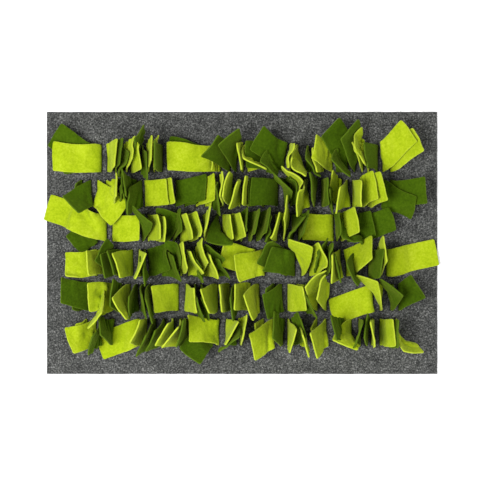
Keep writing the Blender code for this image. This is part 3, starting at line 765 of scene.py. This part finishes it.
def add_fibres():
    """Loose fibres that stand out of the felt's cut edge, joined into one mesh."""
    random = np.random.default_rng(11)
    ring = np.arange(FIBRE_SIDES) * 2 * np.pi / FIBRE_SIDES
    points, faces = [], []
    for _ in range(FIBRES):
        at, outward = fibre_root(random.uniform(0, 2 * (FELT_LENGTH + FELT_WIDTH)))
        at[2] = random.uniform(*FIBRE_HEIGHTS)
        length = random.uniform(*(SHORT_FIBRE if random.random() < SHORT_SHARE else LONG_FIBRE))
        aim = outward + random.normal(0, FIBRE_SPREAD, 3)
        aim[2] = random.uniform(*FIBRE_RISE)
        curl = random.normal(0, FIBRE_CURL, 3)
        first = len(points)
        for step in range(FIBRE_STEPS):
            aim = aim / np.linalg.norm(aim)
            across = np.cross(aim, [0.0, 0.1, 1.0])
            across /= np.linalg.norm(across)
            upward = np.cross(across, aim)
            radius = FIBRE_RADIUS * (1 - FIBRE_TAPER * step / (FIBRE_STEPS - 1))
            for angle in ring:
                points.append(at + radius * (np.cos(angle) * across + np.sin(angle) * upward))
            at = at + aim * length / (FIBRE_STEPS - 1)
            at[2] = max(at[2], FIBRE_RADIUS)
            aim = aim + curl * 0.5
        for step in range(FIBRE_STEPS - 1):
            for k in range(FIBRE_SIDES):
                p = first + step * FIBRE_SIDES + k
                q = first + step * FIBRE_SIDES + (k + 1) % FIBRE_SIDES
                faces.append((p, q, q + FIBRE_SIDES, p + FIBRE_SIDES))
        last = first + (FIBRE_STEPS - 1) * FIBRE_SIDES
        faces.append((first + 2, first + 1, first))
        faces.append((last, last + 1, last + 2))
    mesh = bpy.data.meshes.new("felt_fibres")
    mesh.from_pydata([tuple(point * MM) for point in points], [], faces)
    mesh.shade_smooth()
    piece = bpy.data.objects.new("felt_fibres", mesh)
    bpy.context.scene.collection.objects.link(piece)
    mesh.materials.append(FELT)
    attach(piece, "root")


# Materials
FLEECE_COLOURS = {
    # colour: painted shade, middle, painted light (noise mixes these three in patches), painted light on the
    # cut edge, and the sheen's tint
    LIME: (
        (0.19, 0.27, 0.002),
        (0.29, 0.38, 0.006),
        (0.40, 0.48, 0.026),
        (0.54, 0.60, 0.08),
        (0.9, 1.0, 0.3),
    ),
    DARK: (
        (0.020, 0.044, 0.0002),
        (0.036, 0.075, 0.0004),
        (0.060, 0.112, 0.003),
        (0.13, 0.20, 0.014),
        (0.8, 1.0, 0.1),
    ),
}
SPECULAR, SHEEN_ROUGHNESS = 0.08, 0.45


class Nodes:
    """A material's node tree, with short ways to add to it."""

    def __init__(self, name):
        self.material = bpy.data.materials.new(name)
        self.material.use_nodes = True
        self.tree = self.material.node_tree
        self.shader = self.tree.nodes["Principled BSDF"]
        self.place = self.add("ShaderNodeTexCoord").outputs["Object"]

    def add(self, kind, **inputs):
        """A new node with these values on its inputs."""
        node = self.tree.nodes.new(kind)
        for key, value in inputs.items():
            node.inputs[key].default_value = value
        return node

    def link(self, source, target):
        self.tree.links.new(source, target)

    def noise(self, scale, detail=3.0, roughness=0.6):
        """Noise in the object's own space, scale features to the metre."""
        node = self.add("ShaderNodeTexNoise", Scale=scale, Detail=detail, Roughness=roughness)
        self.link(self.place, node.inputs["Vector"])
        return node.outputs["Fac"]

    def math(self, operation, a, b):
        """The sum or product of two sockets, or of a socket and a number."""
        node = self.add("ShaderNodeMath")
        node.operation = operation
        for socket, value in zip(node.inputs, (a, b)):
            if isinstance(value, float):
                socket.default_value = value
            else:
                self.link(value, socket)
        return node.outputs[0]

    def ramp(self, factor, stops):
        """A colour that runs through the stops, each a position and a colour."""
        node = self.add("ShaderNodeValToRGB")
        elements = node.color_ramp.elements
        while len(elements) < len(stops):
            elements.new(0.5)
        for element, (position, rgb) in zip(elements, stops):
            element.position = position
            element.color = (*rgb, 1)
        self.link(factor, node.inputs["Fac"])
        return node.outputs["Color"]

    def mix(self, factor, a, b):
        """Colour a mixed with colour b by the factor."""
        node = self.add("ShaderNodeMix")
        node.data_type = "RGBA"
        self.link(factor, node.inputs["Factor"])
        for socket, value in zip((node.inputs[6], node.inputs[7]), (a, b)):
            if isinstance(value, tuple):
                socket.default_value = (*value, 1)
            else:
                self.link(value, socket)
        return node.outputs[2]

    def attribute(self, name):
        node = self.add("ShaderNodeAttribute")
        node.attribute_name = name
        return node.outputs["Fac"]

    def bump(self, height, strength, distance):
        node = self.add("ShaderNodeBump", Strength=strength, Distance=distance)
        self.link(height, node.inputs["Height"])
        self.link(node.outputs["Normal"], self.shader.inputs["Normal"])

    def surface(self, colour, roughness, sheen, tint):
        self.link(colour, self.shader.inputs["Base Color"])
        self.shader.inputs["Roughness"].default_value = roughness
        self.shader.inputs["Specular IOR Level"].default_value = SPECULAR
        self.shader.inputs["Sheen Weight"].default_value = sheen
        self.shader.inputs["Sheen Roughness"].default_value = SHEEN_ROUGHNESS
        self.shader.inputs["Sheen Tint"].default_value = (*tint, 1)


def fleece_material(name):
    """Fleece: short nap in soft clumps, painted light and shade in noise patches, and painted light that
    makes it a little lighter along its cut edges.
    """
    painted_shade, middle, painted_light, edge, tint = FLEECE_COLOURS[name]
    nodes = Nodes(name + "_fleece")
    clumps = nodes.noise(260.0, 4.0)
    nap = nodes.noise(900.0, 3.0)
    patches = nodes.noise(28.0, 2.0)
    mottle = nodes.math("ADD", nodes.math("MULTIPLY", clumps, 0.45), nodes.math("MULTIPLY", nap, 0.25))
    mottle = nodes.math("ADD", mottle, nodes.math("MULTIPLY", patches, 0.30))
    # painted light and shade: noise mixes the painted-shade, middle and painted-light colours in patches
    colour = nodes.ramp(mottle, ((0.32, painted_shade), (0.50, middle), (0.68, painted_light)))
    # painted light: the cut edges are mixed toward the lighter edge colour
    painted_edge = nodes.math("MULTIPLY", nodes.attribute("painted_edge"), 0.28)
    colour = nodes.mix(painted_edge, colour, edge)
    nodes.surface(colour, 0.95, 0.16, tint)
    nodes.bump(nodes.math("ADD", nap, nodes.math("MULTIPLY", clumps, 1.5)), 0.55, 0.0007)
    return nodes.material


def felt_material():
    """Needle felt: black, grey and white fibres mixed, with painted shade that makes it darker along its cut
    edges and the slots' walls.
    """
    nodes = Nodes("felt")
    flecks = nodes.noise(330.0, 6.0, 0.8)
    fibres = nodes.noise(1100.0, 4.0, 0.7)
    patches = nodes.noise(60.0, 3.0)
    mottle = nodes.math("ADD", nodes.math("MULTIPLY", flecks, 0.65), nodes.math("MULTIPLY", fibres, 0.25))
    mottle = nodes.math("ADD", mottle, nodes.math("MULTIPLY", patches, 0.10))
    black, dark_grey = (0.004, 0.004, 0.004), (0.030, 0.031, 0.030)
    grey, white = (0.085, 0.087, 0.083), (0.34, 0.34, 0.33)
    colour = nodes.ramp(mottle, ((0.38, black), (0.47, dark_grey), (0.54, grey), (0.64, white)))
    # painted shade: the slots' walls and the cut edge are mixed toward near black
    painted_edge = nodes.math("MULTIPLY", nodes.attribute("painted_edge"), 0.55)
    colour = nodes.mix(painted_edge, colour, (0.018, 0.018, 0.020))
    nodes.surface(colour, 0.97, 0.15, (1.0, 1.0, 1.0))
    nodes.bump(nodes.math("ADD", flecks, fibres), 0.6, 0.0009)
    return nodes.material


# Camera and light
CAMERA_HEIGHT = 2.2
SENSOR = 36.0
VIEW_WIDTH = 0.8616  # of the floor, across the picture
VIEW_SHIFT = (-0.0036, 0.0054)  # of the picture's middle from the mat's
KEY_LIGHT = (-1.1, -0.35, 2.4), 1.3, 92.0  # place, width and watts
FILL_LIGHT = (1.3, -1.1, 1.9), 1.8, 24.0
WORLD_STRENGTH = 0.5
FLOOR_SIZE, FLOOR_DROP = 8.0, 0.0004
FLOOR_COLOUR, FLOOR_ROUGHNESS = (0.93, 0.93, 0.93, 1), 0.9


def add_camera():
    """A camera straight above the mat, with the back of the mat at the top of the picture."""
    camera = bpy.data.objects.new("camera", bpy.data.cameras.new("camera"))
    bpy.context.scene.collection.objects.link(camera)
    camera.data.sensor_width = SENSOR
    camera.data.lens = SENSOR * CAMERA_HEIGHT / VIEW_WIDTH
    camera.location = (*VIEW_SHIFT, CAMERA_HEIGHT)
    bpy.context.scene.camera = camera


def add_area_light(name, place, size, energy):
    """A soft round light that faces the mat's middle."""
    light = bpy.data.lights.new(name, "AREA")
    light.shape, light.size, light.energy = "DISK", size, energy
    lamp = bpy.data.objects.new(name, light)
    bpy.context.scene.collection.objects.link(lamp)
    lamp.location = place
    lamp.rotation_euler = (-Vector(place)).to_track_quat("-Z", "Y").to_euler()


def add_studio():
    """A plain pale floor, a large soft light above to the left and a weaker one opposite."""
    bpy.ops.mesh.primitive_plane_add(size=FLOOR_SIZE, location=(0, 0, -FLOOR_DROP))
    floor = bpy.context.object
    floor.name = "floor"
    material = bpy.data.materials.new("floor")
    material.use_nodes = True
    shader = material.node_tree.nodes["Principled BSDF"]
    shader.inputs["Base Color"].default_value = FLOOR_COLOUR
    shader.inputs["Roughness"].default_value = FLOOR_ROUGHNESS
    floor.data.materials.append(material)
    add_area_light("key", *KEY_LIGHT)
    add_area_light("fill", *FILL_LIGHT)
    world = bpy.data.worlds.new("world")
    bpy.context.scene.world = world
    world.use_nodes = True
    background = world.node_tree.nodes["Background"]
    background.inputs["Color"].default_value = (1, 1, 1, 1)
    background.inputs["Strength"].default_value = WORLD_STRENGTH
    bpy.context.scene.view_settings.view_transform = "Standard"


def add_strips(strips_by_row, ends, grids, first_number, is_cad):
    """Every strip of a table, numbered along its row, each with its own part of the ends and grids."""
    index = 0
    for row, strips in strips_by_row.items():
        for number, (colour, *columns) in enumerate(strips, first_number):
            name = f"{row}{number:02d}_{colour}"
            used = slice(index, index + len(columns))
            node = "strip_" + name if is_cad else None
            add_strip("fleece_" + name, colour, ends[used], grids[used], node)
            index += len(columns)


add_camera()
add_studio()
FLEECE = {colour: fleece_material(colour) for colour in (LIME, DARK)}
FELT = felt_material()

cad_ends, filler_ends = ends_table(STRIPS), ends_table(FILLERS)
cad_grids = laid_ends(cad_ends, CAD_GRID, CAD_CLEAR, CAD_BEND)
add_strips(STRIPS, cad_ends, cad_grids, first_number=1, is_cad=True)
solid_points = refined(cad_grids, SOLID_GRID).reshape(-1, 3)
filler_grids = laid_ends(filler_ends, FILLER_GRID, FILLER_CLEAR, FILLER_BEND, solid_points)
add_strips(FILLERS, filler_ends, filler_grids, first_number=21, is_cad=False)
add_felt(np.concatenate([cad_ends, filler_ends]))
add_fibres()
